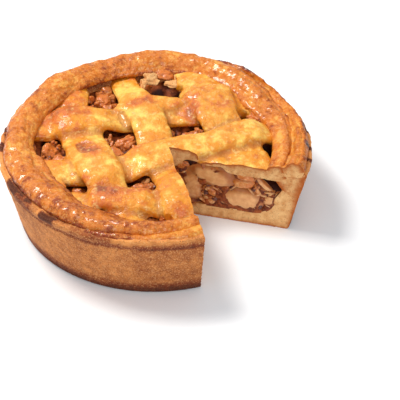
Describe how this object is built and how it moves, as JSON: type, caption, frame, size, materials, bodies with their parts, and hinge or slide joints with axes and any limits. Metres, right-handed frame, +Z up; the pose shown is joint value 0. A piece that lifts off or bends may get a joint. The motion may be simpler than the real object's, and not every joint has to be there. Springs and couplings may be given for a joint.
{
  "type": "lattice apple pie with one slice cut out",
  "caption": "Deep round fruit pie with a woven pastry lattice, a rolled rim and one slice cut out, so that the chunky filling shows.",
  "frame": {"origin": "middle of the flat underside, on the surface that the pie stands on", "axes": "+Z up; the missing slice lies between +X and -Y, and the picture looks along +Y and down"},
  "size_m": [0.2396, 0.2402, 0.0666],
  "materials": {
    "crust": "sandy matte baked pastry, browned outside, pale porous crumb where it is cut",
    "filling": "moist soft fruit chunks with dark spiced syrup between them",
    "lattice": "egg-washed golden pastry, browned where it is raised",
    "rim": "shiny orange-brown glazed pastry with a few burnt edges",
    "rim_dough": "satin folded pastry"
  },
  "bodies": {
    "root": {"pastry_case": "crust", "pie_filling": "filling", "lattice_down_1": "lattice", "lattice_down_2": "lattice", "lattice_down_3": "lattice", "lattice_across_1": "lattice", "lattice_across_2": "lattice", "lattice_across_3": "lattice", "rim_roll_left": "rim", "rim_roll_right": "rim", "rim_fold_front": "rim_dough"}
  },
  "joints": []
}
